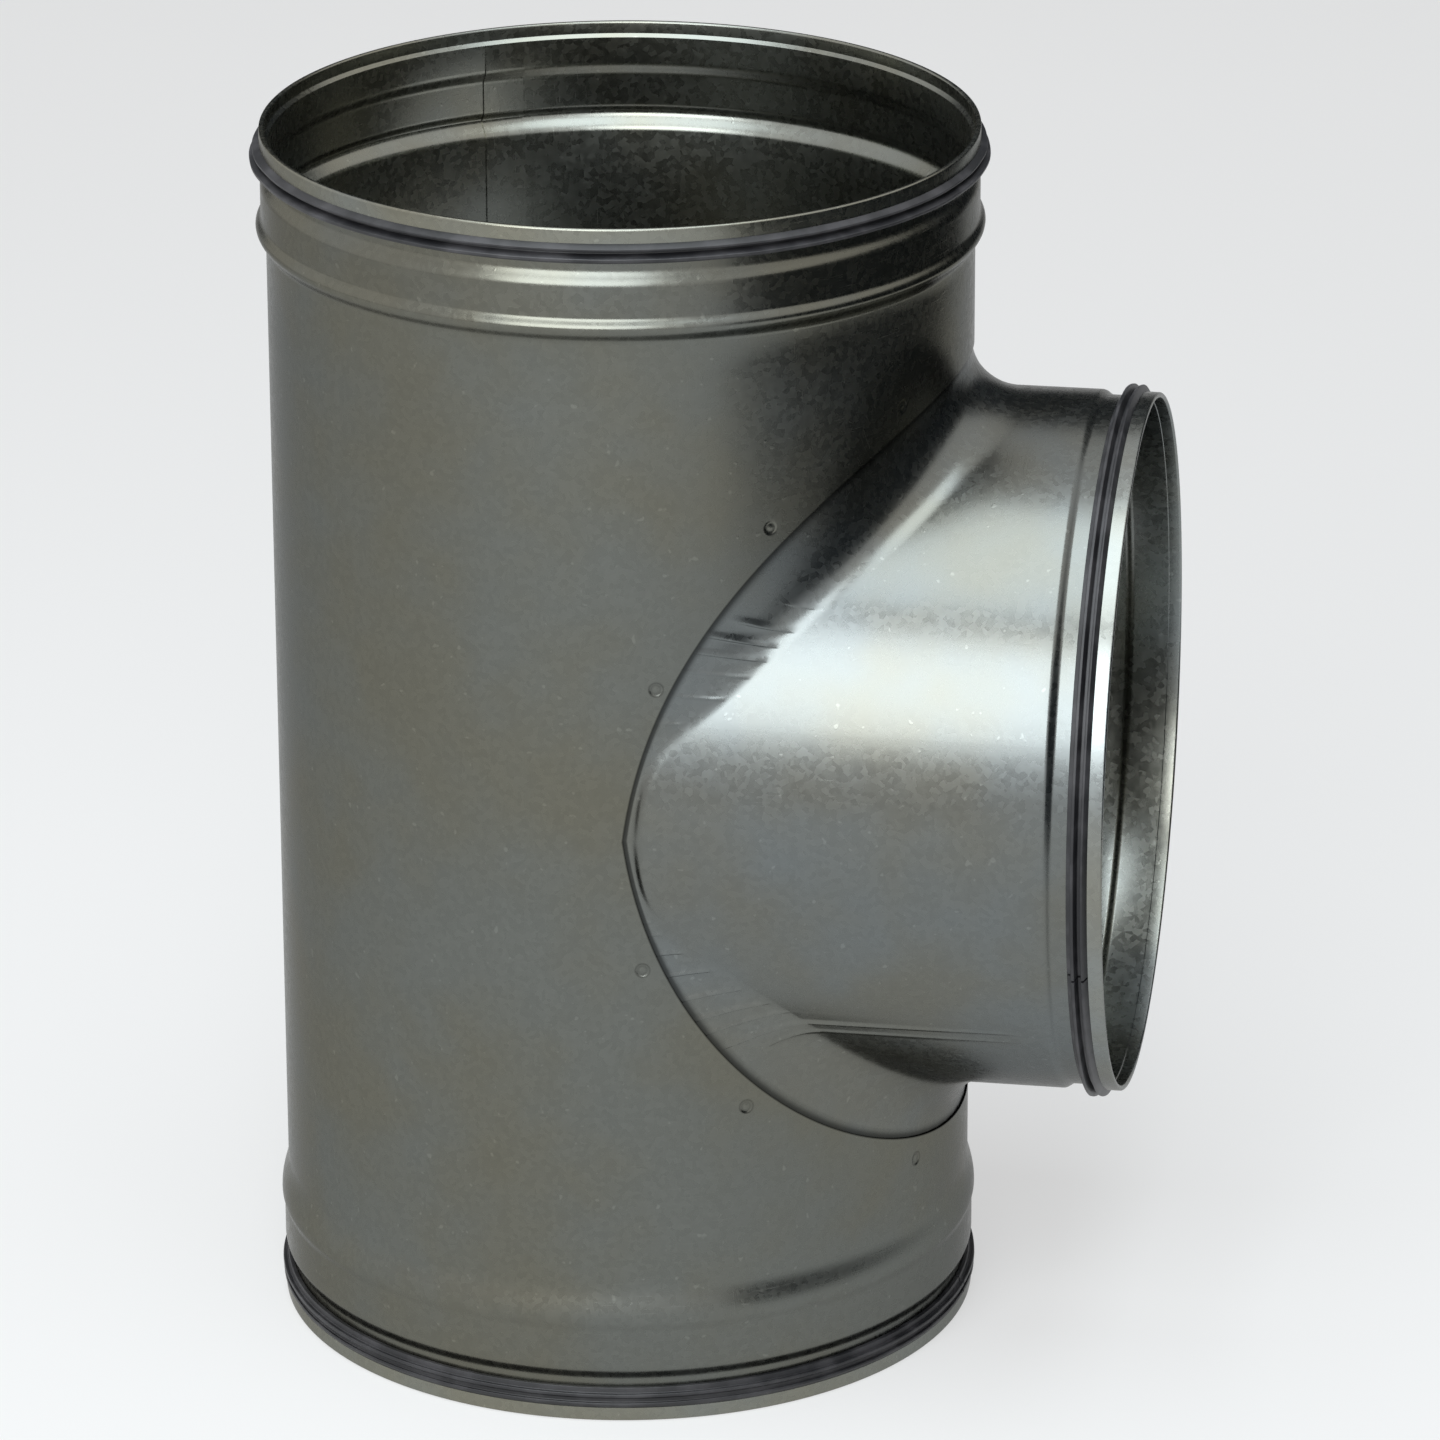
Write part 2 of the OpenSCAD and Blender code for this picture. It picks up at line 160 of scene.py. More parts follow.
def outline(t, out):
    """Distance round the tube and height over the branch's axis, for a parameter in degrees.

    The first is A sin^p t and the second (B + trim) cos^p t - trim, then both go out along the
    curve's normal by the given distance.
    """
    sn, cs = np.maximum(np.sin(np.radians(t)), 1e-9), np.cos(np.radians(t))
    tall = MOUTH_B + TRIM
    nx, ny = tall * cs ** (POWER - 1) * sn, MOUTH_A * sn ** (POWER - 1) * cs
    size = np.hypot(nx, ny)
    tip = t >= MOUTH_END - 0.01
    nx, ny = np.where(tip, 1, nx / size), np.where(tip, 0, ny / size)
    height = np.where(tip, 0, tall * cs ** POWER - TRIM)
    return MOUTH_A * sn ** POWER + out * nx, height + out * ny


def round_main(arc, height, radius):
    """Carries distance round the tube, height and radius to points: x = r cos, y = r sin, z."""
    turn = arc / BODY_R
    return np.stack(np.broadcast_arrays(radius * np.cos(turn), radius * np.sin(turn), height), -1)


print(f"the mouth is {2 * MOUTH_B:.0f} mm high and its points lie "
      f"{np.degrees(outline(np.array(MOUTH_END), 0)[0] / BODY_R):.1f} degrees round the tube")

# %% [markdown]
# ## From grids to a sheet
#
# A sheet of metal is one surface that turns back on itself at its edges. Here it is made of a few
# grids of points. Each grid is a whole array, and its faces join each point to its neighbours, so no
# loop runs over the points. Where two grids meet they have the same points, which are then merged,
# and edges sharper than 32 degrees stay sharp in the shading.


# %% A helper that turns grids into a piece
def make_piece(name, grids, finish, stands_for, caps=()):
    """Joins grids in one closed mesh. Each is points (rows, columns, 3) in mm, UVs (rows, columns, 2)
    in mm, and marks (rows, columns, 2): painted shade at cut edges, in weld rings and under the
    mouth's edge, and whether on the inner face, which the finish paints lighter."""
    points, uvs, tags, faces, first = [], [], [], [], 0
    for grid, uv, mark in grids:
        rows, cols = grid.shape[:2]
        index = first + np.arange(rows * cols).reshape(rows, cols)
        faces.append(np.stack([index[:-1, :-1], index[:-1, 1:], index[1:, 1:], index[1:, :-1]],
                              -1).reshape(-1, 4))
        points.append(grid.reshape(-1, 3))
        uvs.append(uv.reshape(-1, 2))
        tags.append(mark.reshape(-1, 2))
        first += rows * cols
    points, uvs, faces = np.vstack(points) * MM, np.vstack(uvs), np.vstack(faces)
    mesh = bpy.data.meshes.new(name)
    mesh.from_pydata(points, [], faces.tolist() + [list(cap) for cap in caps])
    layer = mesh.uv_layers.new(name="sheet_mm")
    corner = np.empty(len(mesh.loops), np.int32)
    mesh.loops.foreach_get("vertex_index", corner)
    layer.data.foreach_set("uv", (uvs[corner] * MM).astype(np.float32).ravel())
    tags = np.pad(np.vstack(tags), ((0, 0), (0, 2)), constant_values=1).astype(np.float32)
    mesh.attributes.new("marks", "FLOAT_COLOR", "POINT").data.foreach_set("color", tags.ravel())
    solid = bmesh.new()
    solid.from_mesh(mesh)
    bmesh.ops.remove_doubles(solid, verts=solid.verts, dist=1e-6)
    open_edges = sum(not edge.is_manifold for edge in solid.edges)
    if solid.calc_volume(signed=True) < 0:
        bmesh.ops.reverse_faces(solid, faces=solid.faces)
    litres = solid.calc_volume(signed=True) * 1e6
    solid.to_mesh(mesh)
    solid.free()
    mesh.shade_smooth()
    mesh.set_sharp_from_angle(angle=np.radians(32))
    mesh.materials.append(finish)
    piece = bpy.data.objects.new(name, mesh)
    bpy.context.scene.collection.objects.link(piece)
    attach(piece, "root")
    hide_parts(stands_for)
    mesh.calc_loop_triangles()
    print(f"{name}: {len(mesh.loop_triangles)} triangles, {open_edges} open edges, "
          f"{litres:.2f} cubic centimetres")
    return piece


# %% [markdown]
# ## Shader arithmetic
#
# A material's pattern is arithmetic on distances and noise. Written as nodes one at a time it is
# long and hard to read, so a small class wraps a socket and turns + - * / ** into Math nodes. Every
# other node comes from one method, which sets the node's own choices first and its sockets after.


# %% Sockets that can be added and multiplied
class Value:
    """A number that changes over a surface. Arithmetic on it adds Math nodes to its material."""

    def __init__(self, finish, socket):
        self.finish, self.socket = finish, socket

    def math(self, kind, *terms):
        return self.finish.node("ShaderNodeMath", {"operation": kind}, dict(enumerate(terms)))

    def __add__(self, other): return self.math("ADD", self, other)
    def __radd__(self, other): return self.math("ADD", other, self)
    def __sub__(self, other): return self.math("SUBTRACT", self, other)
    def __rsub__(self, other): return self.math("SUBTRACT", other, self)
    def __mul__(self, other): return self.math("MULTIPLY", self, other)
    def __rmul__(self, other): return self.math("MULTIPLY", other, self)
    def __truediv__(self, other): return self.math("DIVIDE", self, other)
    def __rtruediv__(self, other): return self.math("DIVIDE", other, self)
    def __pow__(self, other): return self.math("POWER", self, other)
    def __abs__(self): return self.math("ABSOLUTE", self)

    def between(self, low, high):
        """0 at low and 1 at high, with soft ends."""
        settings = {"interpolation_type": "SMOOTHSTEP"}
        return self.finish.node("ShaderNodeMapRange", settings, {0: self, 1: low, 2: high})


class Finish:
    """A material with one Principled BSDF and helpers to add nodes before it."""

    def __init__(self, name, **fixed):
        self.material = bpy.data.materials.new(name)
        self.material.use_nodes = True
        self.tree = self.material.node_tree
        self.shader = self.tree.nodes["Principled BSDF"]
        for socket, amount in fixed.items():
            self.shader.inputs[socket.replace("_", " ")].default_value = amount

    def node(self, kind, settings=None, inputs=None, out=0):
        made = self.tree.nodes.new(kind)
        for name, choice in (settings or {}).items():
            if name == "stops":
                ramp = made.color_ramp
                for i, (place, colour) in enumerate(choice):
                    stop = ramp.elements[i] if i < 2 else ramp.elements.new(place)
                    stop.position, stop.color = place, (*colour, 1)
            else:
                setattr(made, name, choice)
        for name, given in (inputs or {}).items():
            if isinstance(given, Value):
                self.tree.links.new(given.socket, made.inputs[name])
            else:
                made.inputs[name].default_value = given
        return Value(self, made.outputs[out])

    def feed(self, socket, value):
        self.tree.links.new(value.socket, self.shader.inputs[socket])


print("shader helpers ready")

# %% [markdown]
# ## The galvanised finish
# The base colour also carries painted shade along the mouth's cut, in the weld rings and on the saddle under
# the mouth's edge, and the inner faces are painted lighter.
#
# Galvanised sheet is steel with a skin of zinc. It shines, but softly: the zinc froze in small
# crystals, the spangle, and handling has left hair scratches, rubbed patches and specks. A metal's
# colour in Blender is the colour of its reflections, so the base colour stays a plain grey, and
# what is seen is mostly roughness and a very shallow bump.
#
# The spangle and the cloudy patches are the same in all directions and come from Object
# coordinates. Scratches follow the sheet, so they read the piece's own UV map, which is the
# unrolled sheet in metres.


# %% A galvanised finish
def galvanised(name, colour, cool, rough):
    """Zinc skin: spangle cells, clouds, specks and two sets of hair scratches, with painted shade and a painted
    lighter inner face.
    """
    zinc = Finish(name, Metallic=1.0, Specular_Tint=(0.6, 0.6, 0.6, 1))
    place = zinc.node("ShaderNodeTexCoord", out=3)
    sheet = zinc.node("ShaderNodeTexCoord", out=2)

    def noise(vector, scale, detail=2.0, rough_share=0.5, stretch=None, turn=0.0):
        if stretch:
            vector = zinc.node("ShaderNodeMapping", None,
                               {"Vector": vector, "Scale": stretch, "Rotation": (0, 0, turn)})
        return zinc.node("ShaderNodeTexNoise", None, {"Vector": vector, "Scale": scale,
                                                      "Detail": detail, "Roughness": rough_share})

    painted_shade_and_light = zinc.node("ShaderNodeAttribute", {"attribute_name": "marks"}, out=0)
    painted_shade = zinc.node("ShaderNodeSeparateColor", None, {"Color": painted_shade_and_light}, out=0)
    inner = zinc.node("ShaderNodeSeparateColor", None, {"Color": painted_shade_and_light}, out=1)
    spangle = zinc.node("ShaderNodeTexVoronoi", {"feature": "F1"},
                        {"Vector": place, "Scale": 420.0, "Randomness": 1.0}, out=1)
    grain = zinc.node("ShaderNodeSeparateColor", None, {"Color": spangle}, out=0)
    clouds = noise(place, 9.0, 3.0, 0.6)
    fine = noise(place, 900.0, 2.0)
    specks = noise(place, 260.0, 1.0).between(0.72, 0.78)
    hair = noise(sheet, 30.0, 3.0, 0.6, (1.0, 60.0, 1.0)).between(0.60, 0.72)
    hair = hair * noise(place, 5.0, 2.0).between(0.5, 0.62)
    slant = noise(sheet, 30.0, 3.0, 0.6, (60.0, 1.5, 1.0), 0.9).between(0.62, 0.72)
    slant = slant * noise(place, 7.0, 2.0).between(0.55, 0.66)
    marks = hair + slant

    shade = 0.9 + 0.2 * clouds + 0.10 * (grain - 0.5) + 0.25 * specks + 0.12 * marks
    # Painted shade: the first channel darkens the mouth's cut, the weld rings and the saddle under the mouth's
    # edge. Painted light: the inner face is half as bright again.
    shade = shade * (1 - 0.8 * painted_shade) * (1 + 0.5 * inner)
    tint = zinc.node("ShaderNodeMix", {"data_type": "RGBA", "blend_type": "MIX"},
                     {"Factor": clouds.between(0.35, 0.65), "A": (*colour, 1), "B": (*cool, 1)}, out=2)
    zinc.feed("Base Color", zinc.node("ShaderNodeVectorMath", {"operation": "SCALE"},
                                      {0: tint, "Scale": shade}))
    zinc.feed("Roughness", rough + 0.10 * (clouds - 0.5) + 0.07 * (grain - 0.5) + 0.06 * marks)
    height = 0.25 * grain + 0.5 * fine + 1.0 * marks + 1.2 * specks
    zinc.feed("Normal", zinc.node("ShaderNodeBump", None,
                                  {"Strength": 0.25, "Distance": 0.00006, "Height": height}))
    return zinc.material


TUBE_ZINC = galvanised("main_tube_zinc", (0.150, 0.146, 0.118), (0.142, 0.148, 0.136), 0.27)
BRANCH_ZINC = galvanised("branch_zinc", (0.160, 0.160, 0.140), (0.155, 0.168, 0.168), 0.27)
print("two galvanised finishes made")

# %% [markdown]
# ## The main tube
#
# The tube's wall is two grids for the part above the branch's axis and two for the part below. In
# front, a column of points starts at the mouth's cut, crosses a band 18 mm wide at right angles to
# it, climbs straight up the tube and goes over the bead, the groove and the hem, then comes back
# down the inner face to the cut. Behind, where there is no mouth, the columns of the upper and
# lower halves meet at the height of the branch's axis.
#
# The spot welds sit in the band. Each is a dish that the electrode presses, only 6.5 mm wide, so
# the columns are close together near the welds and wide apart elsewhere. That could be done with a
# dense grid everywhere, but it would take ten times as many faces.

# %% Columns and rows round the mouth
WELDS = {1: [(18.5, 10.5), (40, 9.5), (63, 6)], -1: [(15, 10.5), (44, 10), (66, 8)]}
WELD_R, WELD_DEPTH = 3.25, 0.38
BAND = np.concatenate([[0, 0.7, 1.4], np.arange(2.2, 14.6, 0.42), [16, 18]])


def band_stations(up):
    """Outline parameters of a half's columns, spaced by how near the closest weld is."""
    t = np.linspace(0, MOUTH_END, 4001)
    arc, height = outline(t, 9.0)
    along = np.concatenate([[0], np.cumsum(np.hypot(np.diff(arc), np.diff(height)))])
    near = np.min([abs(along - np.interp(w[0], t, along)) for w in WELDS[up]], axis=0)
    gap = 0.42 + 3.4 * np.clip((near - 3.6) / 6, 0, 1)
    count = np.concatenate([[0], np.cumsum(np.diff(along) / gap[:-1])])
    quarter = np.interp(np.linspace(0, count[-1], int(np.ceil(count[-1])) + 1), count, t)
    return np.concatenate([-quarter[:0:-1], quarter])


def ease(u):
    """Smooth step from 0 to 1."""
    u = np.clip(u, 0, 1)
    return u * u * (3 - 2 * u)


def weld_distance(arc, height, up):
    """Distance to the nearest weld's centre, as a share of its radius."""
    centres = [outline(np.array(float(t)), out) for t, out in WELDS[up]]
    return np.min([np.hypot(abs(arc) - a, height - up * h) for a, h in centres], axis=0) / WELD_R


def weld_dish(arc, height, up):
    """Depth of a weld: a steep wall inside the rim, a ring at the bottom and a low boss in it."""
    away = weld_distance(arc, height, up)
    return WELD_DEPTH * ease((1 - away) / 0.32) - 0.16 * ease((0.5 - away) / 0.4)


def weld_painted_shade(arc, height, up):
    """Painted shade in the ring at a weld's foot and round its rim."""
    away = weld_distance(arc, height, up)
    return 0.55 * np.exp(-((away - 0.97) / 0.09) ** 2) + 0.3 * np.exp(-((away - 0.6) / 0.15) ** 2)


# %% Four grids for the tube's wall
LAP = np.radians([120 - 3.48, 120 + 3.48]) * BODY_R


def lap_step(arc, depth):
    """1 where the inner layer of the lengthwise lap lies, 0 elsewhere and in the hem."""
    inside = (arc > LAP[0]) & (arc < LAP[1])
    return inside[None, :] * (depth > LEDGE_AT + MAIN_LEDGE)[:, None]


def tube_half(up, end):
    """The front and the back grid of the upper (up = 1) or lower (up = -1) half of the wall."""
    rim = (TALL if up > 0 else 0) - BRANCH_Z
    t = band_stations(up)
    arc, height = outline(abs(t)[None, :], BAND[:, None])
    arc, height = np.sign(t) * arc, up * height
    side = outline(np.array(MOUTH_END), 18.0)[0]
    whole = 2 * np.pi * BODY_R
    back = np.sort(np.concatenate([np.linspace(side, whole - side, 96), LAP - 0.01, LAP + 0.01]))
    outer, inner = end[:len(end) // 2], end[len(end) // 2:]
    climb = np.linspace(0, 1, 8)[1:-1, None]

    def rest(arcs, start):
        """From the band's upper edge to the body's end, over the rolled end and back down inside."""
        stop = rim - up * end[0, 1]
        rows = [
            round_main(arcs[None, :], start + (stop - start) * climb, BODY_R),
            round_main(arcs[None, :], (rim - up * outer[:, 1])[:, None] + 0 * arcs, outer[:, :1]),
            round_main(arcs[None, :], (rim - up * inner[:, 1])[:, None] + 0 * arcs,
                       inner[:, :1] - SHEET * lap_step(arcs, inner[:, 1])),
            round_main(arcs[None, :], stop + (start - stop) * climb,
                       BODY_R - SHEET - SHEET * lap_step(arcs, 0 * climb[:, 0] + 99)),
        ]
        return np.vstack(rows)

    skin = round_main(arc, height, BODY_R - weld_dish(arc, height, up))
    inside = round_main(arc, height, BODY_R - SHEET)[[-1, 20, 0]]
    front = np.vstack([inside[-1:], skin, rest(arc[-1], height[-1]), inside])
    rows = len(front)
    # Painted light on the inner face's rows; painted shade along the mouth's cut and in the weld rings.
    inner_rows = np.arange(rows)[:, None] > 1 + len(BAND) + len(climb) + len(outer) - 1
    edge = np.clip(1 - np.arange(rows) / 2.0, 0, 1)[:, None]
    edge[0], edge[1], edge[-1] = 1, 1, 1
    weld = np.zeros((rows, len(t)))
    weld[1:1 + len(BAND)] = weld_painted_shade(arc, height, up)
    front_painted_shade_and_light = np.stack(np.broadcast_arrays(np.maximum(edge, weld), inner_rows * 1.0), -1)
    base = round_main(back, 0 * back, BODY_R)[None]
    base_in = round_main(back, 0 * back, BODY_R - SHEET - SHEET * lap_step(back, np.array([99.0]))[0])
    behind = np.vstack([base, rest(back, 0 * back), base_in[None]])
    # Behind, painted light on the inner face's rows and no painted shade.
    back_inner = (np.arange(len(behind)) > len(climb) + len(outer))[:, None] * np.ones(len(back))
    back_painted_light = np.stack([0 * back_inner, back_inner], -1)
    grids = []
    for grid, arcs, marks in ((front, arc[-1], front_painted_shade_and_light), (behind, back, back_painted_light)):
        grid = grid + [0, 0, BRANCH_Z]
        uv = np.stack([np.broadcast_to(arcs, grid.shape[:2]), grid[..., 2]], -1)
        flip = slice(None, None, up)
        grids.append((grid[:, flip], uv[:, flip], marks[:, flip]))
    return grids


main_tube = make_piece("main_tube_sheet", tube_half(1, TOP_END) + tube_half(-1, LOW_END),
                       TUBE_ZINC, "main_tube")

# %% [markdown]
# ## The pressed saddle
#
# The branch is one pressed sheet. Its flange hides under the mouth's edge, its foot follows the
# mouth 1.5 mm inside the cut, and a rounding carries it into the neck. Where the press had too
# much metal, on both sides of the foot, the sheet has gathered into small pleats.
#
# The rounding could be a fillet between two solids, but a fillet has the same radius all round,
# and this one is tight at the sides and wide at the crown. So each section is a cubic Bezier curve
# that leaves the neck along the branch and lands along the main tube. The pleats are valleys across
# the sections, deepest halfway down, with a sharp fold at the bottom of each.

# %% Sections of the saddle
GATHERED = {1: (53.0, 69.0), -1: (46.5, 72.0)}
# Each fold: outline parameter, height, width of its upper flank in degrees, and how far from the
# neck (0) to the foot (1) it starts and ends
FOLDS = {1: [(47.6, 0.30, 1.0, 0.05, 0.55), (51.9, 0.60, 1.3, 0.05, 0.95), (54.6, 0.80, 1.2, 0.08, 1.3),
             (57.0, 0.75, 1.1, 0.10, 1.3), (59.7, 0.38, 0.7, 0.12, 1.3), (63.1, 0.36, 0.6, 0.15, 1.3),
             (66.8, 0.28, 0.5, 0.40, 1.3)],
         -1: [(49.0, 0.55, 1.0, -0.3, 0.75), (51.7, 1.00, 1.0, -0.3, 1.1), (54.6, 0.80, 0.8, 0.02, 1.3),
              (56.9, 0.85, 0.8, 0.08, 1.3), (60.1, 0.85, 0.8, 0.20, 1.3), (63.8, 0.75, 0.7, 0.30, 1.3),
              (66.9, 0.60, 0.6, 0.45, 1.3), (69.6, 0.42, 0.5, 0.60, 1.3), (71.3, 0.30, 0.4, 0.70, 1.3)]}


def fold_height(t, u, up):
    """Height of the folds: each rises smoothly along its upper flank and drops off sharply below."""
    total = np.zeros(np.broadcast(t, u).shape)
    for place, high, width, start, end in FOLDS[up]:
        s = (t - place) * up
        shape = ease(1 + s / width) * ease(1 - s / 0.22)
        total += high * shape * ease((u - start) / 0.22) * ease((end - u) / 0.3)
    return total


def saddle_stations(up):
    """Outline parameters of a quarter: 2 degrees apart, with nine more columns in each fold."""
    wide = np.concatenate([np.linspace(0, 45, 19), np.arange(46, 80, 1.0), np.linspace(80, MOUTH_END, 4)])
    close = [place + up * np.concatenate([width * np.array([-1, -0.8, -0.6, -0.4, -0.2]),
                                          [0, 0.05, 0.11, 0.17, 0.22]]) for place, _, width, *_ in FOLDS[up]]
    t = np.sort(np.concatenate([wide, *close]))
    return t[np.concatenate([[True], np.diff(t) > 0.03])]


def crease_x(phi):
    """Where the rounding meets the neck: fourth root of the crown's run and the side's, to the 4th."""
    cs = np.cos(phi)
    crown = NECK_R * cs + 25.0 * np.maximum(cs, 0) ** 1.6
    return (crown ** 4 + 36.0 ** 4) ** 0.25


def saddle_quarter(side, up, steps=26):
    """Rows from the flange's cut edge over the foot to the neck, for one quarter of the mouth."""
    t = saddle_stations(up)
    t[-1] = MOUTH_END
    arc, height = outline(t, -1.5)
    foot = round_main(arc, height, FLANGE_R)
    phi = np.arctan2(foot[:, 1], foot[:, 2])
    rho = np.hypot(foot[:, 1], foot[:, 2])
    low, high = GATHERED[up]
    share = ease((t - low) / 5.6) * ease((high - t) / 5.6)
    start = np.stack([crease_x(phi) + 1.5 * share, 0 * t + NECK_R], 1)
    end = np.stack([foot[:, 0], rho], 1)
    along = np.stack([-rho * np.sin(phi) ** 2 / foot[:, 0], 0 * t + 1], 1)
    along /= np.linalg.norm(along, axis=1)[:, None]
    chord = np.linalg.norm(end - start, axis=1)[:, None]
    pull = (0.42 + (0.2 - 0.42) * share)[:, None]
    p1, p2 = start - np.array([1, 0]) * pull * chord, end - 0.38 * chord * along
    across = np.stack([start[:, 1] - end[:, 1], end[:, 0] - start[:, 0]], 1)
    across /= np.linalg.norm(across, axis=1)[:, None]
    u = np.linspace(1, 0, steps)[:, None, None]
    v = 1 - u
    curve = v ** 3 * start + 3 * v * v * u * p1 + 3 * v * u * u * p2 + u ** 3 * end
    lift = fold_height(t, u[..., 0], up) * (1 - 0.35 * u[..., 0])
    curve = curve - across * lift[..., None]
    x, r = curve[..., 0], curve[..., 1]
    press = np.stack([x, r * np.sin(phi), r * np.cos(phi)], -1)
    flange = np.stack([round_main(*outline(t, w), FLANGE_R) for w in (14.0, 7.0, 1.5, 0.0)])
    face = np.vstack([flange, press]) * [1, side, up]
    return face, phi


def all_round(near_top, near_low, far_low, far_top):
    """Joins four quarters of columns into one ring: crown, near side, underside, far side."""
    return np.concatenate([near_top, near_low[:, ::-1][:, 1:], far_low[:, 1:], far_top[:, ::-1][:, 1:]], 1)


# %% The saddle with its neck, groove and hem
quarters = [saddle_quarter(side, up) for side, up in ((-1, 1), (-1, -1), (1, -1), (1, 1))]
outer = all_round(*(face for face, phi in quarters))
top, low = quarters[0][1][None], quarters[1][1][None]
ring = all_round(-top, low - np.pi, -np.pi - low, top - 2 * np.pi)[0]
down = np.gradient(outer, axis=0)
wrapped = np.concatenate([outer[:, -2:-1], outer, outer[:, 1:2]], 1)
across = wrapped[:, 2:] - wrapped[:, :-2]
normal = np.cross(down, across)
normal /= np.linalg.norm(normal, axis=-1)[..., None]
normal *= np.sign((normal[-1] * outer[-1] * [0, 1, 1]).sum(-1).mean())
inner = outer - SHEET * normal

neck_line = groove_line(NECK_R - SHEET / 2, BRANCH_GROOVE_R - SHEET / 2, BRANCH_SHOULDER, BRANCH_LEDGE)
neck_line = np.vstack([[[NECK_R - SHEET / 2, d]] for d in (44.0, 36.0, 30.0)] + [neck_line])
BRANCH_END = both_faces(neck_line)


def round_branch(angles, section):
    """Turns a section of radius and depth below the rim about the branch's axis."""
    r, d = section[:, :1], section[:, 1:]
    return np.stack([np.broadcast_to(REACH - d, (len(section), len(angles))),
                     r * np.sin(angles), r * np.cos(angles)], -1)


saddle = np.vstack([outer, round_branch(ring, BRANCH_END), inner[::-1], outer[:1]])
saddle_uv = np.stack([np.broadcast_to(ring * NECK_R, saddle.shape[:2]), saddle[..., 0]], -1)
count = np.arange(len(saddle))[:, None]
# Painted shadow on the flange under the mouth's edge and on the first rows of the rounding; painted light on
# the inner face's rows.
shadow = (count < 4) * 1.0 + (count == 4) * 0.8 + (count == 5) * 0.25
inside = (count > len(outer) + len(BRANCH_END) // 2 - 1) * 1.0
saddle_painted_shade_and_light = np.stack(np.broadcast_arrays(shadow, inside + 0 * ring), -1)
branch = make_piece("branch_saddle_sheet", [(saddle + [0, 0, BRANCH_Z], saddle_uv, saddle_painted_shade_and_light)],
                    BRANCH_ZINC, "branch_saddle")

# %% [markdown]
# ## The rubber seals
#
# Each seal is an extruded rubber strip: a tongue that the hem grips, a flat base in the groove and
# two lips that lean away from the rim. It is wound round the spigot and its ends meet at a cut.
#
# The section is a list of corners, each with its own radius, and the seal is that section carried
# round the spigot. A real strip isn't perfectly even, so its lips wander a little in and out.


# %% The seal's section
def rounded(corners):
    """The corners' polygon with each corner replaced by five points of an arc of its radius."""
    corners = np.array(corners, float)
    p, radius = corners[:, :2], corners[:, 2:]
    to_last, to_next = np.roll(p, 1, 0) - p, np.roll(p, -1, 0) - p
    to_last /= np.linalg.norm(to_last, axis=1)[:, None]
    to_next /= np.linalg.norm(to_next, axis=1)[:, None]
    half = np.arccos((to_last * to_next).sum(1))[:, None] / 2
    mid = to_last + to_next
    mid /= np.linalg.norm(mid, axis=1)[:, None]
    centre = p + mid * radius / np.sin(half)
    t0, t1 = p + to_last * radius / np.tan(half) - centre, p + to_next * radius / np.tan(half) - centre
    k = np.arange(5)[:, None, None] / 4
    spoke = t0 * (1 - k) + t1 * k
    length = np.linalg.norm(spoke, axis=2)[..., None]
    arcs = centre + spoke / np.where(length == 0, 1, length) * radius
    keep = np.where(radius[:, 0] == 0, 1, 5)
    return np.vstack([arcs[:n, i] for i, n in enumerate(keep)])


def seal_section(floor, ledge, lips):
    """Tongue, hem face, first lip, second lip, base and ledge, as radius and depth below the rim."""
    leg = floor + ledge
    tongue, hem, root = leg + 0.95, leg + HEM_OVER, HEM_LEN + 0.05
    step = LEDGE_AT + SHEET / 2 * np.tan(np.radians(22.5)) + 0.05
    return rounded([
        (leg + 0.05, 3.0, 0.25), (tongue, 3.0, 0.25), (tongue, root, 0), (hem, root, 0.2),
        (hem + lips[0], root + 1.7, 0.35), (hem + lips[0] - 0.3, root + 2.8, 0.35),
        (tongue + 0.5, root + 2.3, 0.5), (tongue + 0.4, root + 4.4, 0.5),
        (hem + lips[1], root + 5.6, 0.4), (hem + lips[1] - 0.2, root + 7.1, 0.4),
        (tongue, root + 6.5, 0.5), (tongue - 0.5, 15.5, 0.3), (floor + 0.05, 15.5, 0.2),
        (floor + 0.05, step + ledge, 0), (leg + 0.05, step, 0)])


# %% [markdown]
# ## The rubber finish
#
# The rubber is black with a satin skin, and dust has greyed it in places. It isn't a metal, so its
# gloss is thin and white. A fine noise roughens it, and a slower one along the strip lets the dust
# come and go.

# %% Black rubber
rubber = Finish("seal_rubber", Metallic=0.0)
spot = rubber.node("ShaderNodeTexCoord", out=3)
dust = rubber.node("ShaderNodeTexNoise", None, {"Vector": spot, "Scale": 60.0, "Detail": 4.0})
pores = rubber.node("ShaderNodeTexNoise", None, {"Vector": spot, "Scale": 1500.0, "Detail": 1.0})
rubber.feed("Base Color", rubber.node(
    "ShaderNodeMix", {"data_type": "RGBA"},
    {"Factor": dust.between(0.4, 0.75), "A": (0.012, 0.012, 0.014, 1), "B": (0.05, 0.048, 0.052, 1)}, out=2))
rubber.feed("Roughness", 0.36 + 0.2 * dust)
rubber.feed("Normal", rubber.node("ShaderNodeBump", None,
                                  {"Strength": 0.3, "Distance": 0.00005, "Height": pores}))
RUBBER = rubber.material


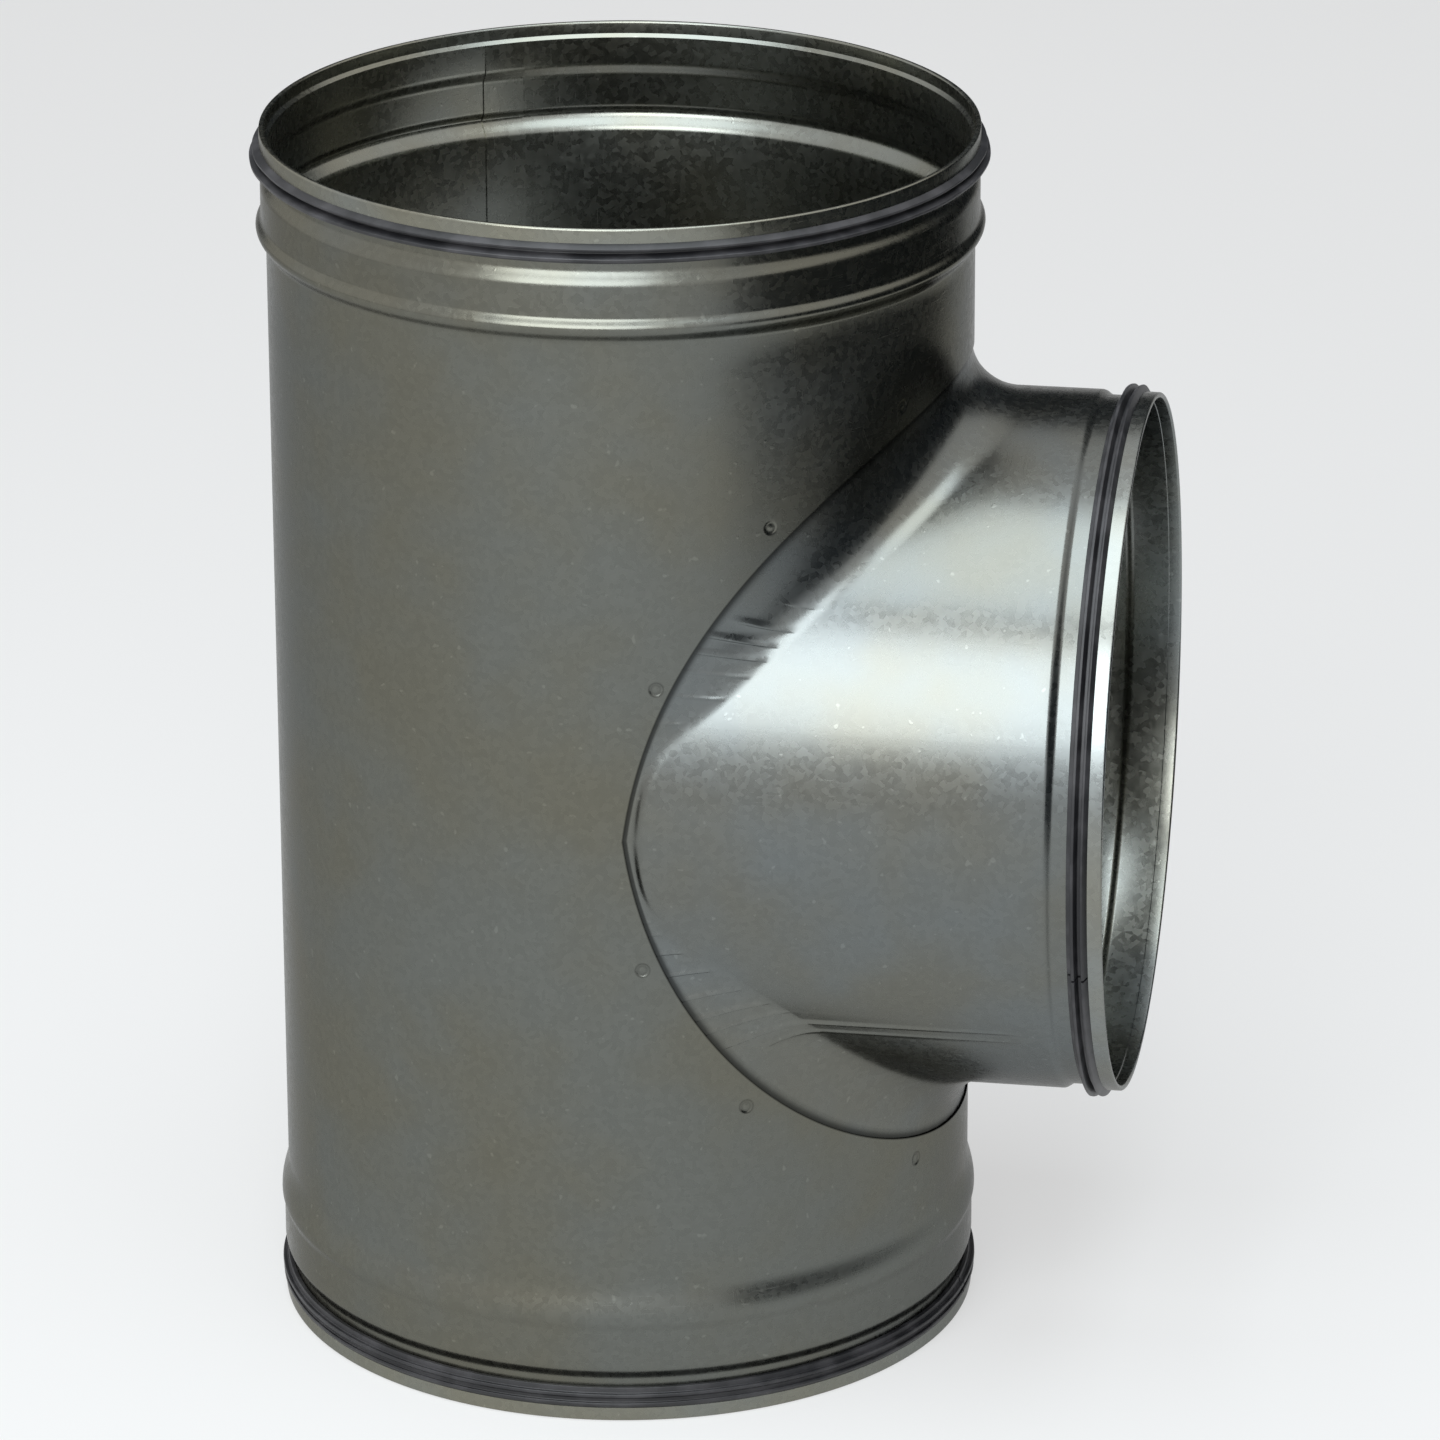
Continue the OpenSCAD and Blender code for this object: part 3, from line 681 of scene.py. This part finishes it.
# %% Three seals
def wind_seal(name, node, section, splice, place, columns=300):
    """The section carried round from one side of its cut to the other, its lips wandering inwards."""
    gap = 1.2 / section[:, 0].min()
    turn = np.linspace(splice + gap / 2, splice + 2 * np.pi - gap / 2, columns)
    sway = 0.12 * (np.sin(7 * turn + splice) + np.sin(13 * turn + 1) + 0.7 * np.sin(29 * turn)) - 0.3
    lip = np.clip((section[:, :1] - section[:, 0].min() - 2.7) / 3, 0, 1)
    radius = section[:, :1] + lip * sway
    depth = np.broadcast_to(section[:, 1:], radius.shape)
    rows = np.arange(len(section) + 1) % len(section)
    grid = place(turn, radius, depth)[rows]
    uv = np.stack([np.broadcast_to(turn * 155, grid.shape[:2]), np.broadcast_to(depth, radius.shape)[rows]], -1)
    first = np.arange(len(section)) * columns
    return make_piece(name, [(grid, uv, 0 * uv)], RUBBER, node,
                      caps=[first, (first + columns - 1)[::-1]])


def on_top(turn, radius, depth):
    """Upper spigot: depth runs down from the upper rim."""
    return np.stack([radius * np.cos(turn), radius * np.sin(turn), TALL - depth], -1)


def on_bottom(turn, radius, depth):
    """Lower spigot: depth runs up from the lower rim."""
    return np.stack([radius * np.cos(turn), radius * np.sin(turn), depth + 0 * turn], -1)


def on_branch(turn, radius, depth):
    """Branch spigot: the turn starts straight down and goes by the near side."""
    return np.stack([REACH - depth, -radius * np.sin(turn), BRANCH_Z + radius * np.cos(turn)], -1)


seal_top = wind_seal("seal_top", "gasket_top",
                     seal_section(GROOVE_R, MAIN_LEDGE, (3.2, 4.5)), np.radians(150), on_top)
seal_bottom = wind_seal("seal_bottom", "gasket_bottom",
                        seal_section(GROOVE_R, MAIN_LEDGE, (1.3, 1.6)), np.radians(-6), on_bottom)
seal_branch = wind_seal("seal_branch", "gasket_branch",
                        seal_section(BRANCH_GROOVE_R, BRANCH_LEDGE, (3.3, 3.6)), np.radians(110), on_branch)

# %% [markdown]
# ## The studio
#
# A shiny sheet shows its surroundings, so the light is made of large soft panels: one overhead and
# one high behind the camera. The floor and the surroundings are white, which the camera and the
# reflections both see, and the floor keeps the part's shadow.

# %% Floor, surroundings and lamps
floor_mesh = bpy.data.meshes.new("studio_floor")
floor_mesh.from_pydata([(-8, -8, 0), (8, -8, 0), (8, 8, 0), (-8, 8, 0)], [], [(0, 1, 2, 3)])
floor = bpy.data.objects.new("studio_floor", floor_mesh)
floor.location.z = -0.0002
bpy.context.scene.collection.objects.link(floor)


def seen(tree):
    """Sum of the Light Path outputs for camera, glossy and transmission rays."""
    path = tree.nodes.new("ShaderNodeLightPath")
    total = path.outputs["Is Camera Ray"]
    for name in ("Is Glossy Ray", "Is Transmission Ray"):
        add = tree.nodes.new("ShaderNodeMath")
        add.operation, add.use_clamp = "ADD", True
        tree.links.new(total, add.inputs[0])
        tree.links.new(path.outputs[name], add.inputs[1])
        total = add.outputs[0]
    return total


pale = Finish("studio_floor_white", Roughness=0.9)
pale.shader.inputs["Base Color"].default_value = (0.8, 0.8, 0.8, 1)
glow = pale.tree.nodes.new("ShaderNodeEmission")
glow.inputs["Color"].default_value = (1.0, 1.0, 1.0, 1)
blend = pale.tree.nodes.new("ShaderNodeMixShader")
share = pale.tree.nodes.new("ShaderNodeMath")
share.operation = "MULTIPLY"
share.inputs[1].default_value = 0.55
pale.tree.links.new(seen(pale.tree), share.inputs[0])
pale.tree.links.new(share.outputs[0], blend.inputs["Fac"])
pale.tree.links.new(pale.shader.outputs[0], blend.inputs[1])
pale.tree.links.new(glow.outputs[0], blend.inputs[2])
pale.tree.links.new(blend.outputs[0], pale.tree.nodes["Material Output"].inputs["Surface"])
floor_mesh.materials.append(pale.material)

world = bpy.data.worlds.new("studio")
bpy.context.scene.world = world
world.use_nodes = True
sky = world.node_tree.nodes["Background"]
sky.inputs["Color"].default_value = (1, 1, 1, 1)
level = world.node_tree.nodes.new("ShaderNodeMapRange")
level.inputs["To Min"].default_value = 0.25
level.inputs["To Max"].default_value = 1.0
world.node_tree.links.new(seen(world.node_tree), level.inputs["Value"])
world.node_tree.links.new(level.outputs[0], sky.inputs["Strength"])


def soft_panel(name, place, aim, size, power, colour):
    """A rectangular lamp at a place, turned towards a point."""
    lamp = bpy.data.lights.new(name, "AREA")
    lamp.shape, lamp.size, lamp.size_y, lamp.energy, lamp.color = "RECTANGLE", *size, power, colour
    holder = bpy.data.objects.new(name, lamp)
    back = np.array(place, float) - aim
    back /= np.linalg.norm(back)
    right = np.cross([0, 1, 0] if abs(back[2]) > 0.99 else [0, 0, 1], back)
    right /= np.linalg.norm(right)
    up = np.cross(back, right)
    matrix = np.eye(4)
    matrix[:3, 0], matrix[:3, 1], matrix[:3, 2], matrix[:3, 3] = right, up, back, place
    holder.matrix_world = Matrix(matrix.tolist())
    bpy.context.scene.collection.objects.link(holder)


def dark_flag(name, corners):
    """A dark cloth on a frame that only reflections see: it keeps white out of part of the sheet."""
    mesh = bpy.data.meshes.new(name)
    mesh.from_pydata(corners, [], [(0, 1, 2, 3)])
    cloth = Finish(name, Base_Color=(0.02, 0.025, 0.03, 1), Roughness=1.0)
    mesh.materials.append(cloth.material)
    flag = bpy.data.objects.new(name, mesh)
    flag.visible_camera = flag.visible_diffuse = flag.visible_shadow = False
    bpy.context.scene.collection.objects.link(flag)


soft_panel("overhead_panel", (0.0, -0.5, 2.7), (0, -0.2, 0.3), (2.2, 1.8), 42, (0.86, 0.95, 1.0))
soft_panel("front_panel", (-0.3, -2.9, 2.2), (0, 0, 0.35), (2.6, 2.2), 95, (0.93, 0.98, 1.0))
dark_flag("side_flag", [(1.1, -1.2, 0.0), (1.1, 1.6, 0.0), (1.1, 1.6, 1.0), (1.1, -1.2, 1.0)])
dark_flag("back_flag", [(-2.0, 1.9, 0.4), (2.0, 1.9, 0.4), (2.0, 1.9, 1.9), (-2.0, 1.9, 1.9)])

# %% [markdown]
# ## The camera
#
# The photograph was taken with a long lens, from a little to the branch's side and about 21 degrees
# above the horizon. Its place was found by fitting the rims and silhouettes, so the numbers below
# are a direction, a distance and a slight roll.

# %% The photograph's view
AZIMUTH, ELEVATION, ROLL, FAR = 0.1653, 0.3687, -0.0034, 3542.61
ahead = np.array([-np.sin(AZIMUTH) * np.cos(ELEVATION), np.cos(AZIMUTH) * np.cos(ELEVATION),
                  -np.sin(ELEVATION)])
right = np.cross(ahead, [0, 0, 1])
right /= np.linalg.norm(right)
up = np.cross(right, ahead)
target = right * 42.576 + [0, 0, 270.517]
tilted = right * np.cos(ROLL) + up * np.sin(ROLL), -right * np.sin(ROLL) + up * np.cos(ROLL)
pose = np.eye(4)
pose[:3, 0], pose[:3, 1], pose[:3, 2], pose[:3, 3] = *tilted, -ahead, (target - ahead * FAR) * MM
lens = bpy.data.cameras.new("photo_view")
lens.sensor_width, lens.lens, lens.clip_end = 36.0, 7922.78 / 1440 * 36.0, 100.0
camera = bpy.data.objects.new("photo_view", lens)
camera.matrix_world = Matrix(pose.tolist())
bpy.context.scene.collection.objects.link(camera)
bpy.context.scene.camera = camera
bpy.context.scene.view_settings.view_transform = "Standard"
print("camera at", np.round(pose[:3, 3], 3), "lens", round(lens.lens, 1), "mm")

# %% [markdown]
# ## The end
#
# The view layer is brought up to date once more. The dressed part must fill the same box as the
# CAD model.

# %% Finish
bpy.context.view_layer.update()
